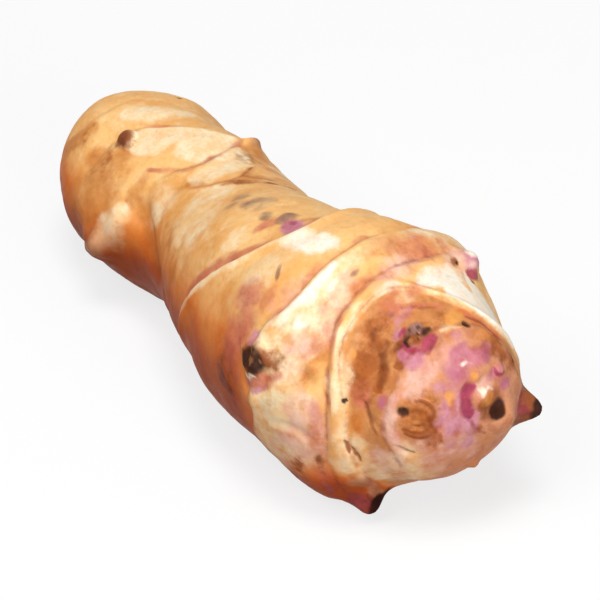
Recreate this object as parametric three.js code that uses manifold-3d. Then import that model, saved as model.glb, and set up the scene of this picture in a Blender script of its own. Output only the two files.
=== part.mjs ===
// One jerusalem artichoke tuber, resting on its side. Units are millimetres, +Z is up.
//
// +X runs along the tuber, from the stolon scar at the rear to the growing tip. The tuber is one
// grown body: a loft of oval sections along a gently bent axis, with a groove and a raised lip at
// every leaf-scar ring, and with buds on the rings. The underside has small flats at z = 0.
//
// A place on the skin is given by two numbers: "along", the distance in millimetres along the
// bent axis from the rear end, and "around", the angle in degrees about it. Around 0 is the +Y
// side, 90 the top, 180 the -Y side and 270 the underside.
import * as THREE from "three";
import { mergeVertices } from "three/addons/utils/BufferGeometryUtils.js";
import Module from "manifold-3d";

const wasm = await Module();
wasm.setup();

// --- Body ---------------------------------------------------------------------------------

// Sections along the axis: centre x, y, z, then half width and half height of the oval.
const SECTIONS = [
  { x: -54.9, y: 5.8, z: 13.6, halfWidth: 12.5, halfHeight: 12.5 }, // rear end
  { x: -42.9, y: 5.5, z: 13.7, halfWidth: 13.8, halfHeight: 13.8 }, // rear lobe
  { x: -28.9, y: 5.5, z: 14.1, halfWidth: 14.0, halfHeight: 14.0 },
  { x: -13.9, y: 4.3, z: 15.0, halfWidth: 13.4, halfHeight: 13.6 }, // waist
  { x: 1.1, y: 0.7, z: 16.8, halfWidth: 14.2, halfHeight: 14.6 },
  { x: 16.1, y: -1.7, z: 18.8, halfWidth: 17.0, halfHeight: 17.4 },
  { x: 31.1, y: -0.3, z: 19.8, halfWidth: 20.0, halfHeight: 19.6 }, // widest part
  { x: 43.1, y: 3.3, z: 20.1, halfWidth: 16.6, halfHeight: 16.0 }, // shoulder of the face
  { x: 57.1, y: 7.3, z: 19.9, halfWidth: 13.4, halfHeight: 13.0 }, // tip
];

// Both ends close with a rounded cap: its length along the axis and its roundness exponent.
const REAR_CAP = 14;
const FRONT_CAP = 15;
const CAP_POWER = 2.1;

// Broad swellings on the sections: place, height, reach towards the rear, the tip and around. A
// height below 0 makes a shallow hollow.
const SWELLINGS = [
  { along: 24, around: 183, height: 2.6, rearReach: 9, tipReach: 7, aroundReach: 42 },
  { along: 93, around: 236, height: 2.8, rearReach: 4.5, tipReach: 6, aroundReach: 30 },
  { along: 94, around: 32, height: 2.6, rearReach: 7, tipReach: 5, aroundReach: 30 },
  { along: 24, around: 42, height: -1.5, rearReach: 6, tipReach: 5, aroundReach: 42 },
  { along: 11, around: 80, height: -0.8, rearReach: 9, tipReach: 8, aroundReach: 40 },
  { along: 106, around: 28, height: -2.4, rearReach: 6, tipReach: 6, aroundReach: 35 },
  { along: 60, around: 300, height: 1.0, rearReach: 12, tipReach: 10, aroundReach: 40 },
];

// Leaf-scar rings from the rear to the tip. Each is a closed line of [around, along] points, with
// a raised lip that stands at "lipAt" millimetres past the line.
const RINGS = [
  { lip: 0.3, lipAt: 1.2, line: [[0, 12.5], [90, 13.2], [160, 10.8], [250, 10.8]] },
  { lip: 0.4, lipAt: 1.2, line: [[0, 27], [40, 31.5], [63, 32.6], [87, 27.5], [110, 21.8],
    [125, 20.3], [180, 19.5], [240, 20.5], [300, 24]] },
  { lip: 0.5, lipAt: 1.2, line: [[20, 34], [63, 35.2], [81, 37], [104, 39.4], [120, 36.6],
    [134, 34.8], [146, 35.8], [168, 42.6], [181, 46.6], [215, 47], [260, 42], [310, 37]] },
  { lip: 0.4, lipAt: 1.2, line: [[20, 40], [60, 41.5], [94, 48.5], [110, 47.5], [132, 42.4],
    [144, 42.2], [168, 47.6], [181, 51], [215, 51], [260, 46], [320, 42]] },
  { lip: 0.9, lipAt: 1.4, line: [[0, 70.5], [50, 76], [97, 78.6], [116, 76], [140, 71.2],
    [170, 65.5], [200, 62.8], [250, 62.5], [300, 66]] },
  { lip: 0.6, lipAt: 1.2, line: [[0, 87], [60, 88.6], [105, 88.2], [135, 86.9], [150, 85],
    [163, 84.8], [175, 85.2], [189, 84.7], [207, 82.8], [250, 81.6], [300, 84]] },
  { lip: 0.4, lipAt: 1.0, line: [[0, 95.6], [67, 95.4], [95, 94.2], [110, 93.3], [130, 93],
    [155, 94.4], [180, 95], [246, 95.2], [300, 95]] },
  // The rim of the face: its lip stands on the rear side of the line.
  { lip: 0.6, lipAt: -0.8, line: [[30, 109.3], [60, 108.3], [70, 107], [79, 105.2], [87, 102.9],
    [93, 100.2], [98, 97.9], [105, 96.2], [118, 95.1], [138, 94.9], [151, 95.7], [161, 96.9],
    [175, 98.4], [188, 98.9], [204, 99.4], [225, 99.9], [260, 100.6], [300, 103.4],
    [345, 107.5]] },
  { lip: 0.3, lipAt: 1.0, line: [[0, 112], [40, 112], [69, 109.4], [98, 105.9], [125, 104.4],
    [160, 104], [182, 104.2], [200, 105.5], [250, 106.5], [300, 109.5]] },
];
const GROOVE_DEPTH = 0.4;
const GROOVE_WIDTH = 0.9;
const LIP_WIDTH = 1.6;

// The skin bulges between one ring and the next, by a share of the distance between them.
const BULGE_SHARE = 0.05;
const LARGEST_BULGE = 0.7;

// --- Buds and scars -------------------------------------------------------------------------

// A bud is a small blunt cone with a flared foot. It leans from the skin's normal towards the
// tip by "lean" degrees.
const BUDS = [
  { along: 22.5, around: 123, radius: 1.5, height: 1.2, lean: 0 }, // corky knob
  { along: 27.8, around: 186, radius: 3.6, height: 3.0, lean: -15 }, // side bud of the rear lobe
  { along: 33.7, around: 52, radius: 2.0, height: 1.2, lean: 10 },
  { along: 46, around: 300, radius: 2.6, height: 1.6, lean: 25 },
  { along: 73.2, around: 95, radius: 1.6, height: 0.9, lean: 10 },
  { along: 67.5, around: 320, radius: 2.6, height: 1.4, lean: 25 },
  { along: 85.3, around: 162, radius: 2.2, height: 1.0, lean: 0 }, // eye on the flank
  { along: 86.5, around: 350, radius: 2.8, height: 2.0, lean: 25 },
  { along: 97, around: 45, radius: 2.4, height: 2.2, lean: 0 },
  { along: 96.8, around: 236, radius: 2.9, height: 3.1, lean: 0 }, // bud under the face
  { along: 103.3, around: 119, radius: 2.0, height: 1.0, lean: 0 }, // eye on the face
  { along: 112, around: 340, radius: 2.7, height: 3.2, lean: 0 }, // hooked scale beside the tip
  { along: 112.2, around: 82, radius: 1.1, height: 0.8, lean: 0 },
  { along: 111.2, around: 253, radius: 1.1, height: 0.8, lean: 0 },
];
const BUD_ROOT = 1.2; // how far each bud is sunk into the body

// The bud at the growing tip and the stolon scar at the rear stand on the ends of the axis.
const TIP_BUD = { radius: 3.0, height: 1.8 };
const STOLON = { footRadius: 6.0, neckRadius: 2.8, endRadius: 1.8, length: 4.0, root: 2.0 };

// --- Mesh density ---------------------------------------------------------------------------

const COLUMNS = 42;
const ROW_SPACING = 4.0;
const FEWEST_ROWS = 3;
const CAP_ROWS = 5;
const BUD_SIDES = 12;

const radians = THREE.MathUtils.degToRad;

// --- Axis and sections ----------------------------------------------------------------------

const axis = new THREE.CatmullRomCurve3(
  SECTIONS.map((s) => new THREE.Vector3(s.x, s.y, s.z)), false, "catmullrom", 0.5,
);
const girth = new THREE.CatmullRomCurve3(
  SECTIONS.map((s) => new THREE.Vector3(s.halfWidth, s.halfHeight, 0)), false, "catmullrom", 0.5,
);
const LENGTH = axis.getLength();

// Share of the full section left at a distance from an end that closes over "cap" millimetres.
function capShare(distance, cap) {
  const inward = THREE.MathUtils.clamp(1 - distance / cap, 0, 1);
  return (1 - inward ** CAP_POWER) ** (1 / CAP_POWER);
}

// Centre, half sizes and cross directions of the section at a distance along the axis.
function sectionAt(along) {
  const t = axis.getUtoTmapping(along / LENGTH);
  const size = girth.getPoint(t);
  const share = capShare(along, REAR_CAP) * capShare(LENGTH - along, FRONT_CAP);
  const forward = axis.getTangent(t);
  const side = new THREE.Vector3(0, 0, 1).cross(forward).normalize();
  return {
    centre: axis.getPoint(t),
    halfWidth: size.x * share,
    halfHeight: size.y * share,
    share,
    forward,
    side,
    up: forward.clone().cross(side),
  };
}

// Smooth closed line through [around, value] points, read at any angle.
function closedLine(points, around) {
  const n = points.length;
  const turn = (i) => points[((i % n) + n) % n][0] + 360 * Math.floor(i / n);
  const value = (i) => points[((i % n) + n) % n][1];
  const slope = (i) => (value(i + 1) - value(i - 1)) / (turn(i + 1) - turn(i - 1));
  const angle = turn(0) + THREE.MathUtils.euclideanModulo(around - turn(0), 360);
  let i = 0;
  while (turn(i + 1) <= angle) i += 1;
  const width = turn(i + 1) - turn(i);
  const u = (angle - turn(i)) / width;
  const rise = u * u * (3 - 2 * u);
  return value(i) * (1 - rise) + value(i + 1) * rise
    + width * (u * (1 - u) ** 2 * slope(i) - u * u * (1 - u) * slope(i + 1));
}

const bell = (distance, reach) => Math.exp(-((distance / reach) ** 2));

// Height of the skin above the plain section, from the swellings and the rings.
function relief(along, around) {
  let height = 0;
  for (const s of SWELLINGS) {
    const ahead = along - s.along;
    const turn = THREE.MathUtils.euclideanModulo(around - s.around + 180, 360) - 180;
    const reach = ahead < 0 ? s.rearReach : s.tipReach;
    height += s.height * bell(ahead, reach) * bell(turn, s.aroundReach);
  }
  const lines = RINGS.map((ring) => closedLine(ring.line, around));
  RINGS.forEach(({ lip, lipAt }, i) => {
    const past = along - lines[i];
    const onLipSide = past * lipAt > 0 ? 1 : 0;
    height -= GROOVE_DEPTH * bell(past, GROOVE_WIDTH);
    height += lip * bell(past - lipAt, LIP_WIDTH) * onLipSide;
  });
  for (let i = 0; i + 1 < lines.length; i += 1) {
    const gap = lines[i + 1] - lines[i];
    const u = THREE.MathUtils.clamp((along - lines[i]) / gap, 0, 1);
    height += Math.min(BULGE_SHARE * gap, LARGEST_BULGE) * 4 * u * (1 - u);
  }
  return height;
}

// Point of the skin at a place.
function skinPoint(along, around) {
  const s = sectionAt(along);
  const lift = relief(along, around) * s.share;
  const angle = radians(around);
  return s.centre
    .addScaledVector(s.side, (s.halfWidth + lift) * Math.cos(angle))
    .addScaledVector(s.up, (s.halfHeight + lift) * Math.sin(angle));
}

// --- Body mesh ------------------------------------------------------------------------------

// Rows of the mesh follow the rings, so each row is a function that gives "along" for an angle.
function bodyRows() {
  const rearEnd = () => 0;
  const tipEnd = () => LENGTH;
  const lines = [rearEnd, ...RINGS.map((ring) => (around) => closedLine(ring.line, around)), tipEnd];
  const rows = [];
  for (let i = 0; i + 1 < lines.length; i += 1) {
    const [from, to] = [lines[i], lines[i + 1]];
    const atRear = i === 0;
    const atTip = i === lines.length - 2;
    let widest = 0;
    for (let around = 0; around < 360; around += 10) {
      widest = Math.max(widest, to(around) - from(around));
    }
    const count = atRear || atTip ? CAP_ROWS : Math.max(FEWEST_ROWS, Math.round(widest / ROW_SPACING));
    for (let j = atRear ? 1 : 0; j < count; j += 1) {
      let u = j / count;
      if (atRear) u = u * u; // closer rows at both ends, where the cap turns fast
      else if (atTip) u = 1 - (1 - u) ** 2;
      else u = u ** 1.25; // and on the lip just past a ring
      rows.push((around) => THREE.MathUtils.lerp(from(around), to(around), u));
    }
  }
  return rows;
}

function bodyGeometry() {
  const rows = bodyRows();
  const positions = [];
  const faces = [];
  const rearPole = axis.getPoint(0);
  const tipPole = axis.getPoint(1);
  positions.push(...rearPole);
  for (const row of rows) {
    for (let j = 0; j < COLUMNS; j += 1) {
      const around = (360 * j) / COLUMNS;
      positions.push(...skinPoint(row(around), around));
    }
  }
  positions.push(...tipPole);

  const index = (row, column) => 1 + row * COLUMNS + (column % COLUMNS);
  const last = rows.length - 1;
  const tipIndex = 1 + rows.length * COLUMNS;
  for (let j = 0; j < COLUMNS; j += 1) {
    faces.push(0, index(0, j + 1), index(0, j));
    faces.push(tipIndex, index(last, j), index(last, j + 1));
    for (let i = 0; i < last; i += 1) {
      faces.push(index(i, j), index(i, j + 1), index(i + 1, j));
      faces.push(index(i, j + 1), index(i + 1, j + 1), index(i + 1, j));
    }
  }
  const geometry = new THREE.BufferGeometry();
  geometry.setAttribute("position", new THREE.Float32BufferAttribute(positions, 3));
  geometry.setIndex(faces);
  return geometry;
}

// --- Buds -----------------------------------------------------------------------------------

// Turned solid about +Y: [radius, height] points from the bottom of its axis to the top.
function turned(profile) {
  const points = profile.map(([radius, height]) => new THREE.Vector2(radius, height));
  return new THREE.LatheGeometry(points, BUD_SIDES);
}

// Blunt cone that stands on the origin along +Y, with its root below.
function budGeometry(radius, height) {
  return turned([
    [0, -BUD_ROOT],
    [1.5 * radius, -BUD_ROOT],
    [1.35 * radius, 0.05 * height],
    [0.85 * radius, 0.4 * height],
    [0.42 * radius, 0.85 * height],
    [0, height],
  ]);
}

// Moves a turned solid from the origin to a point, with its +Y along a direction.
function place(geometry, point, direction) {
  const spin = new THREE.Quaternion().setFromUnitVectors(new THREE.Vector3(0, 1, 0), direction);
  return geometry.applyQuaternion(spin).translate(point.x, point.y, point.z);
}

function placedBud({ along, around, radius, height, lean }) {
  const step = 0.5;
  const point = skinPoint(along, around);
  const tipward = skinPoint(along + step, around).sub(skinPoint(along - step, around)).normalize();
  const across = skinPoint(along, around + 2).sub(skinPoint(along, around - 2)).normalize();
  const normal = across.cross(tipward).normalize();
  const direction = normal.multiplyScalar(Math.cos(radians(lean)))
    .addScaledVector(tipward, Math.sin(radians(lean)))
    .normalize();
  return place(budGeometry(radius, height), point, direction);
}

function tipBud() {
  const forward = axis.getTangent(1);
  return place(budGeometry(TIP_BUD.radius, TIP_BUD.height), axis.getPoint(1), forward);
}

function stolonScar() {
  const { footRadius, neckRadius, endRadius, length, root } = STOLON;
  const stub = turned([
    [0, -root],
    [footRadius, -root],
    [neckRadius, 0.25 * length],
    [endRadius, 0.6 * length],
    [endRadius, length],
    [0, length],
  ]);
  return place(stub, axis.getPoint(0), axis.getTangent(0).negate());
}

// --- One solid ------------------------------------------------------------------------------

function toSolid(geometry) {
  geometry.deleteAttribute("normal");
  geometry.deleteAttribute("uv");
  const merged = mergeVertices(geometry, 1e-4);
  return new wasm.Manifold(new wasm.Mesh({
    numProp: 3,
    vertProperties: merged.attributes.position.array,
    triVerts: new Uint32Array(merged.index.array),
  }));
}

function toGeometry(solid) {
  const mesh = solid.getMesh();
  const geometry = new THREE.BufferGeometry();
  geometry.setAttribute("position", new THREE.BufferAttribute(mesh.vertProperties, 3));
  geometry.setIndex(new THREE.BufferAttribute(mesh.triVerts, 1));
  geometry.computeVertexNormals();
  return geometry;
}

// Everything above z = 0: the cut leaves the small flats that the tuber rests on.
const aboveGround = toSolid(new THREE.BoxGeometry(200, 100, 60).translate(0, 0, 30));

let solid = toSolid(bodyGeometry());
for (const extra of [stolonScar(), tipBud(), ...BUDS.map(placedBud)]) {
  solid = solid.add(toSolid(extra));
}
solid = solid.intersect(aboveGround);

// The origin is the centre of the bottom of the bounding box.
const geometry = toGeometry(solid);
geometry.computeBoundingBox();
const centre = geometry.boundingBox.getCenter(new THREE.Vector3());
geometry.translate(-centre.x, -centre.y, -geometry.boundingBox.min.z);

const skin = new THREE.MeshStandardMaterial({ color: 0xc98f5e, roughness: 0.5, metalness: 0 });
const tuber = new THREE.Mesh(geometry, skin);
tuber.name = "tuber";

const group = new THREE.Group();
group.name = "jerusalem_artichoke";
group.add(tuber);

export default group;
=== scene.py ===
"""Looks of one jerusalem artichoke tuber.

The tuber is one skin mesh. It is a loft of oval sections along a bent axis, the same as in the CAD
model, with finer relief: leaf-scar rings, eyes, root scars, wrinkles and lumps. Each mark on the
skin is written to the mesh as a number from 0 to 1 at every vertex, and the material turns these
numbers into colour with edges broken up by noise.

A place on the skin is given by "along", in millimetres along the axis from the rear end, and
"around", in degrees about it: 0 is the +Y side, 90 the top, 180 the -Y side, 270 the underside.
All sizes are in millimetres until the mesh is written, in metres.
"""

import math
from typing import NamedTuple

import bpy
import numpy as np
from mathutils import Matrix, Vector, noise


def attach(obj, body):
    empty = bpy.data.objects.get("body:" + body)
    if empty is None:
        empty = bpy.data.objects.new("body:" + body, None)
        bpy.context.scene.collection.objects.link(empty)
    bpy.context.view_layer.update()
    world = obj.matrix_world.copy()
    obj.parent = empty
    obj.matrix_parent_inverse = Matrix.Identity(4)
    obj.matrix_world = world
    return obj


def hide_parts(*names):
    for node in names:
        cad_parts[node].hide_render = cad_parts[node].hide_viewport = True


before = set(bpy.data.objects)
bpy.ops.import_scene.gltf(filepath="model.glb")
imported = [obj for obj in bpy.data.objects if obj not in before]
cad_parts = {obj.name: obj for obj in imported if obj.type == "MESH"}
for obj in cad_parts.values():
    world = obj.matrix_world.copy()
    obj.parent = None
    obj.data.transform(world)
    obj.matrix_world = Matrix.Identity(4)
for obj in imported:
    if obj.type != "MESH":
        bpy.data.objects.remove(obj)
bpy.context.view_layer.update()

MM = 0.001

# --- Body ---

# Sections along the axis: centre x, y, z, half width, half height.
SECTIONS = np.array([
    (-54.9, 5.8, 13.6, 12.5, 12.5),
    (-42.9, 5.5, 13.7, 13.8, 13.8),
    (-28.9, 5.5, 14.1, 14.0, 14.0),
    (-13.9, 4.3, 15.0, 13.4, 13.6),
    (1.1, 0.7, 16.8, 14.2, 14.6),
    (16.1, -1.7, 18.8, 17.0, 17.4),
    (31.1, -0.3, 19.8, 20.0, 19.6),
    (43.1, 3.3, 20.1, 16.6, 16.0),
    (57.1, 7.3, 19.9, 13.4, 13.0),
])

# Length in mm of the rounding at either end, and the power of its curve.
REAR_CAP = 14.0
FRONT_CAP = 15.0
CAP_POWER = 2.1

# Broad swellings: along, around, height, reach to the rear, to the tip (mm) and around (degrees).
# A height below 0 makes a shallow hollow.
SWELLINGS = [
    (24, 183, 2.6, 9, 7, 42),
    (93, 236, 2.8, 4.5, 6, 30),
    (94, 32, 2.6, 7, 5, 30),
    (24, 42, -1.5, 6, 5, 42),
    (11, 80, -0.8, 9, 8, 40),
    (106, 28, -2.4, 6, 6, 35),
    (60, 300, 1.0, 12, 10, 40),
]


class Ring(NamedTuple):
    """A leaf-scar ring: a groove along a line, with a raised lip beside it."""

    groove: float  # depth of the groove on the line
    lip: float  # height of the lip
    lip_at: float  # place of the lip past the line
    bulge: float  # height of the swelling between this ring and the next
    line: float  # how strongly the line's colour shows
    clear_at: float  # the side where the ring is plain to see
    clear_half: float  # how far it stays plain to either side of that
    points: list  # the closed line, as (around, along)


# Rings from the rear to the tip.
RINGS = [
    Ring(0.12, 0.2, 1.2, 0.35, 0.1, 90, 50, [(0, 12.5), (90, 13.2), (160, 10.8), (250, 10.8)]),
    Ring(0.25, 0.35, 1.2, 0.45, 0.2, 90, 40, [
        (0, 27), (40, 31.5), (63, 32.6), (87, 27.5), (99, 24.8), (110, 21.8), (125, 20.3),
        (180, 19.5), (240, 20.5), (300, 24),
    ]),
    Ring(0.3, 0.5, 1.2, 0.2, 0.3, 88, 26, [
        (20, 34), (63, 35.2), (81, 37), (104, 39.4), (120, 36.6), (134, 34.8), (146, 35.8),
        (156, 38.6), (168, 42.6), (181, 46.6), (215, 47), (260, 42), (310, 37),
    ]),
    Ring(0.2, 0.3, 1.2, 0.65, 0.25, 88, 26, [
        (20, 40), (60, 41.5), (76, 44.5), (94, 48.5), (110, 47.5), (120, 44.4), (132, 42.4),
        (144, 42.2), (156, 44.5), (168, 47.6), (181, 51), (215, 51), (260, 46), (320, 42),
    ]),
    Ring(0.4, 0.85, 1.3, 0.5, 0.6, 110, 80, [
        (0, 70.5), (50, 76), (97, 78.6), (116, 76), (140, 71.2), (170, 65.5), (200, 62.8),
        (250, 62.5), (300, 66),
    ]),
    Ring(0.22, 0.65, 0.9, 0.3, 0.3, 142, 44, [
        (0, 87), (60, 88.6), (105, 88.2), (120, 87.7), (135, 86.9), (150, 85.0), (163, 84.8),
        (175, 85.2), (189, 84.7), (207, 82.8), (250, 81.6), (300, 84),
    ]),
    Ring(0.32, 0.35, 0.9, 0.1, 0.4, 140, 80, [
        (0, 95.6), (67, 95.4), (95, 94.2), (110, 93.3), (130, 93), (155, 94.4), (180, 95),
        (246, 95.2), (300, 95),
    ]),
    Ring(0.12, 0.55, -0.8, -0.35, 0.3, 120, 110, [
        (30, 109.3), (60, 108.3), (70, 107), (79, 105.2), (87, 102.9), (93, 100.2), (98, 97.9),
        (105, 96.2), (118, 95.1), (138, 94.9), (151, 95.7), (161, 96.9), (175, 98.4), (188, 98.9),
        (204, 99.4), (225, 99.9), (260, 100.6), (300, 103.4), (345, 107.5),
    ]),
    Ring(0.3, 0.35, 0.9, 0.0, 0.5, 110, 90, [
        (0, 112), (40, 112), (51, 111.3), (69, 109.4), (79, 107.6), (98, 105.9), (108, 104.8),
        (125, 104.4), (140, 104.2), (160, 104), (182, 104.2), (200, 105.5), (250, 106.5),
        (300, 109.5),
    ]),
]
# The ring at the rim of the face, and the one about the tip.
RIM, TIP_RING = 7, 8

# Reach of every groove and lip to either side, and what is left of a ring where it isn't plain.
GROOVE_WIDTH = 0.55
LIP_WIDTH = 1.4
FAINTEST = 0.15

# The skin's grid: columns round the tuber, mm between rows, and samples that the rows are
# spread by. It keeps the mesh under 200,000 triangles.
COLUMNS = 304
ROW_STEP = 0.62
SAMPLES = 81


def catmull_rom(points, t):
    """Points on the uniform Catmull-Rom curve through the rows of points, for t from 0 to 1."""
    last = len(points) - 1
    padded = np.vstack([2 * points[0] - points[1], points, 2 * points[-1] - points[-2]])
    place = np.clip(t, 0, 1) * last
    i = np.minimum(place.astype(int), last - 1)
    w = (place - i)[:, None]
    p0, p1, p2, p3 = (padded[i + k] for k in range(4))
    m1, m2 = (p2 - p0) / 2, (p3 - p1) / 2
    return (
        (2 * p1 - 2 * p2 + m1 + m2) * w**3
        + (3 * p2 - 3 * p1 - 2 * m1 - m2) * w**2
        + m1 * w
        + p1
    )


AXIS_TABLE = catmull_rom(SECTIONS, np.linspace(0, 1, 2001))
AXIS_STEPS = np.linalg.norm(np.diff(AXIS_TABLE[:, :3], axis=0), axis=1)
AXIS_ALONG = np.concatenate([[0.0], np.cumsum(AXIS_STEPS)])
LENGTH = AXIS_ALONG[-1]
AXIS_FORWARD = np.gradient(AXIS_TABLE[:, :3], AXIS_ALONG, axis=0)


def read_table(table, along):
    """Columns of a table on the axis, read at distances along it."""
    return np.stack([np.interp(along, AXIS_ALONG, column) for column in table.T], axis=-1)


def unit(vectors):
    return vectors / np.maximum(np.linalg.norm(vectors, axis=-1, keepdims=True), 1e-12)


def cap_share(distance, cap):
    inward = np.clip(1 - distance / cap, 0, 1)
    return (1 - inward**CAP_POWER) ** (1 / CAP_POWER)


def plain_skin(along, around):
    """Points of the skin with no relief."""
    table = read_table(AXIS_TABLE, along)
    forward = unit(read_table(AXIS_FORWARD, along))
    side = unit(np.cross([0.0, 0.0, 1.0], forward))
    up = np.cross(forward, side)
    share = cap_share(along, REAR_CAP) * cap_share(LENGTH - along, FRONT_CAP)
    angle = np.radians(around)
    swell = swelling_height(along, around)
    across = (table[..., 3] + swell) * share * np.cos(angle)
    upward = (table[..., 4] + swell) * share * np.sin(angle)
    return table[..., :3] + across[..., None] * side + upward[..., None] * up


def turn_between(around, centre):
    """Angle from centre to around, from -180 to 180 degrees."""
    return (around - centre + 180) % 360 - 180


def bell(distance, reach):
    return np.exp(-((distance / reach) ** 2))


def swelling_height(along, around):
    height = np.zeros_like(along)
    for s_along, s_around, s_height, rear, tip, about in SWELLINGS:
        ahead = along - s_along
        reach = np.where(ahead < 0, rear, tip)
        height += s_height * bell(ahead, reach) * bell(turn_between(around, s_around), about)
    return height


def closed_line(points, around):
    """Smooth closed line through (around, value) points, read at angles."""
    turns, values = np.array(points, float).T
    turns = np.concatenate([turns - 360, turns, turns + 360])
    values = np.tile(values, 3)
    # The line is laid three times over, so the slopes at its ends are never read.
    slopes = np.zeros_like(values)
    slopes[1:-1] = (values[2:] - values[:-2]) / (turns[2:] - turns[:-2])
    i = np.searchsorted(turns, around % 360, side="right") - 1
    width = turns[i + 1] - turns[i]
    u = (around % 360 - turns[i]) / width
    rise = u * u * (3 - 2 * u)
    return (
        values[i] * (1 - rise)
        + values[i + 1] * rise
        + width * (u * (1 - u) ** 2 * slopes[i] - u * u * (1 - u) * slopes[i + 1])
    )


def even_shares(start, end, around):
    """Shares of the way from one line to the next that lie ROW_STEP apart over the skin."""
    shares = np.linspace(0, 1, SAMPLES)
    along = start + (end - start) * shares[:, None]
    points = plain_skin(along, np.broadcast_to(around, along.shape))
    steps = np.linalg.norm(np.diff(points, axis=0), axis=2)
    walked = np.concatenate([[0.0], np.cumsum(steps.mean(axis=1))])
    count = max(4, round(steps.sum(axis=0).max() / ROW_STEP))
    return np.interp(np.arange(count) / count * walked[-1], walked, shares)


def skin_grid():
    """The grid of places: rows follow the rings, columns go round. Also each ring's row."""
    around = np.arange(COLUMNS) * 360.0 / COLUMNS
    lines = [np.zeros(COLUMNS)]
    lines += [closed_line(ring.points, around) for ring in RINGS]
    lines += [np.full(COLUMNS, LENGTH)]
    rows, ring_rows = [], []
    for start, end in zip(lines, lines[1:]):
        ring_rows.append(len(rows) - 1)
        rows += [start + (end - start) * share for share in even_shares(start, end, around)]
    along = np.array(rows[1:])
    return along, np.broadcast_to(around, along.shape).copy(), ring_rows[1:]


ALONG, AROUND, RING_ROWS = skin_grid()
BASE = plain_skin(ALONG, AROUND)


def grid_normals(points):
    """Outward unit normals of a grid of points that is closed around its columns."""
    across = np.roll(points, -1, axis=1) - np.roll(points, 1, axis=1)
    onward = np.gradient(points, axis=0)
    return unit(np.cross(across, onward))


NORMAL = grid_normals(BASE)
ONWARD = unit(np.gradient(BASE, axis=0))
ACROSS = np.cross(ONWARD, NORMAL)

# Distance over the skin from the rear end along each column.
MERIDIAN = np.cumsum(
    np.linalg.norm(np.diff(BASE, axis=0, prepend=BASE[:1]), axis=2), axis=0
)


def noise_at(points, size, seed):
    """Smooth noise from -1 to 1 with lumps of a size in mm."""
    scaled = points.reshape(-1, 3) / size + seed * 17.3
    values = [noise.noise(p) for p in scaled.tolist()]
    return np.array(values).reshape(points.shape[:-1])


def smooth(low, high, value):
    u = np.clip((value - low) / (high - low), 0, 1)
    return u * u * (3 - 2 * u)


# Distance past each ring, with the line made to waver a little, and how plain each ring is.
WAVER = 0.3 * noise_at(BASE, 7.0, 1) + 0.12 * noise_at(BASE, 2.0, 2)
PAST = [MERIDIAN - MERIDIAN[row] + WAVER for row in RING_ROWS]
CLEAR = [
    FAINTEST + (1 - FAINTEST) * smooth(
        ring.clear_half + 25, ring.clear_half - 15, np.abs(turn_between(AROUND, ring.clear_at))
    )
    for ring in RINGS
]

# The grid's points pushed about over the skin by noise, so that no mark has a clean outline.
DRIFT = sum(
    (0.6 * noise_at(BASE, 4.5, seed) + 0.3 * noise_at(BASE, 1.6, seed + 3))[..., None] * way
    for seed, way in ((21, ONWARD), (22, ACROSS))
)
MARK_BASE = BASE + DRIFT


def local_polar(along, around, grid=BASE):
    """Distance in mm from a place to every point of a grid, and its direction in radians.

    Direction 0 is tipward, and it turns towards larger "around".
    """
    point = plain_skin(np.array([float(along)]), np.array([float(around)]))[0]
    nearest = np.argmin(np.linalg.norm(BASE - point, axis=2))
    row, column = np.unravel_index(nearest, ALONG.shape)
    gap = grid - point
    direction = np.arctan2(gap @ ACROSS[row, column], gap @ ONWARD[row, column])
    return np.linalg.norm(gap, axis=2), direction


def from_line(places, grid=BASE):
    """Distance in mm from a smooth line over the skin, and the share of the line passed."""
    places = catmull_rom(np.array(places, float), np.linspace(0, 1, 4 * len(places)))
    points = plain_skin(places[:, 0], places[:, 1])
    distance = np.full(ALONG.shape, np.inf)
    share = np.zeros_like(distance)
    for i, (start, end) in enumerate(zip(points, points[1:])):
        way = end - start
        u = np.clip((grid - start) @ way / (way @ way), 0, 1)
        gap = np.linalg.norm(grid - start - u[..., None] * way, axis=2)
        share = np.where(gap < distance, (i + u) / (len(points) - 1), share)
        distance = np.minimum(gap, distance)
    return distance, share


# --- Relief ---

# Pointed buds: along, around, radius, height, lean towards the tip in degrees, sharpness.
BUDS = [
    (27.2, 189, 3.0, 2.1, -15, 1.0),
    (33.7, 52, 2.0, 1.0, 10, 1.0),
    (46.0, 300, 2.6, 1.6, 25, 1.2),
    (67.5, 320, 2.6, 1.4, 25, 1.2),
    (86.5, 350, 2.8, 2.0, 25, 1.2),
    (97.0, 45, 2.6, 2.0, 0, 1.1),
    (96.8, 236, 2.9, 3.1, 0, 1.1),
    (112.0, 340, 2.7, 3.2, 0, 1.5),
    (111.2, 253, 1.1, 0.7, 0, 1.0),
]

# Round knobs: along, around, radius, height.
KNOBS = [
    (22.5, 123, 1.9, 1.2),
    (73.2, 95, 1.5, 0.45),
    (110.9, 99, 2.0, 0.35),
    (111.5, 113, 0.8, 0.3),
    (112.2, 82, 1.1, 0.55),
    (113.0, 127, 1.6, 0.6),
]

# Eyes: a rough knob with a sunken ring. Along, around, radius, height, lean upwards in degrees.
EYES = [
    (84.9, 162, 2.4, 0.9, 5),
    (103.3, 119, 2.3, 0.6, 0),
]

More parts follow.
